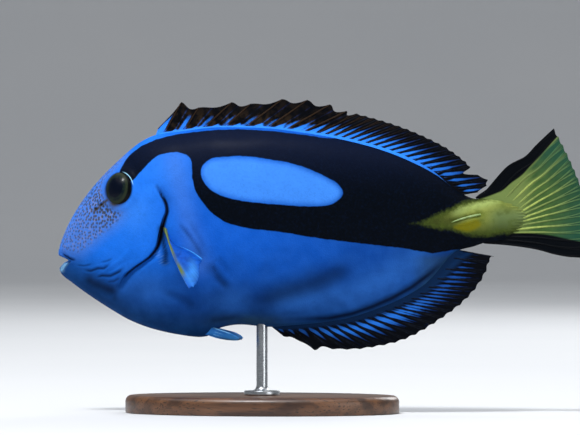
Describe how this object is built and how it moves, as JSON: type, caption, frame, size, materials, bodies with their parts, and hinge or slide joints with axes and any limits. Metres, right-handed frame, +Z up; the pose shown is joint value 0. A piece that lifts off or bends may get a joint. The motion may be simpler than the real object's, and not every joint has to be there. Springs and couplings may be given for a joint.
{
  "type": "regal blue tang display model",
  "caption": "Deep-bodied blue reef fish with a yellow tail, held level as if swimming by a thin rod on an oval display base.",
  "frame": {"origin": "centre of the stand's underside, which is also the foot of the rod's axis", "axes": "+Z up; -X towards the fish's snout and +X towards its tail; -Y towards the fish's left side, the side the picture shows"},
  "size_m": [0.2445, 0.0846, 0.1414],
  "materials": {
    "blue_skin": "satin, royal blue with black markings",
    "yellow_skin": "satin, yellow with black edges",
    "pale_bone": "semi-gloss",
    "black_fin": "satin, black with blue streaks",
    "yellow_fin": "satin, yellow with black upper and lower edges",
    "blue_fin": "satin, thin",
    "eye_gloss": "high gloss",
    "walnut": "satin",
    "steel": "brushed"
  },
  "bodies": {
    "root": {"head": "blue_skin", "lower_jaw": "blue_skin", "torso": "blue_skin", "tail_stalk": "yellow_skin", "tail_blade_left": "pale_bone", "tail_blade_right": "pale_bone", "dorsal_fin": "black_fin", "anal_fin": "black_fin", "caudal_fin": "yellow_fin", "pectoral_fin_left": "blue_fin", "pectoral_fin_right": "blue_fin", "pelvic_fin_left": "blue_fin", "pelvic_fin_right": "blue_fin", "eye_left": "eye_gloss", "eye_right": "eye_gloss", "stand_base": "walnut", "stand_rod": "steel"}
  },
  "joints": []
}
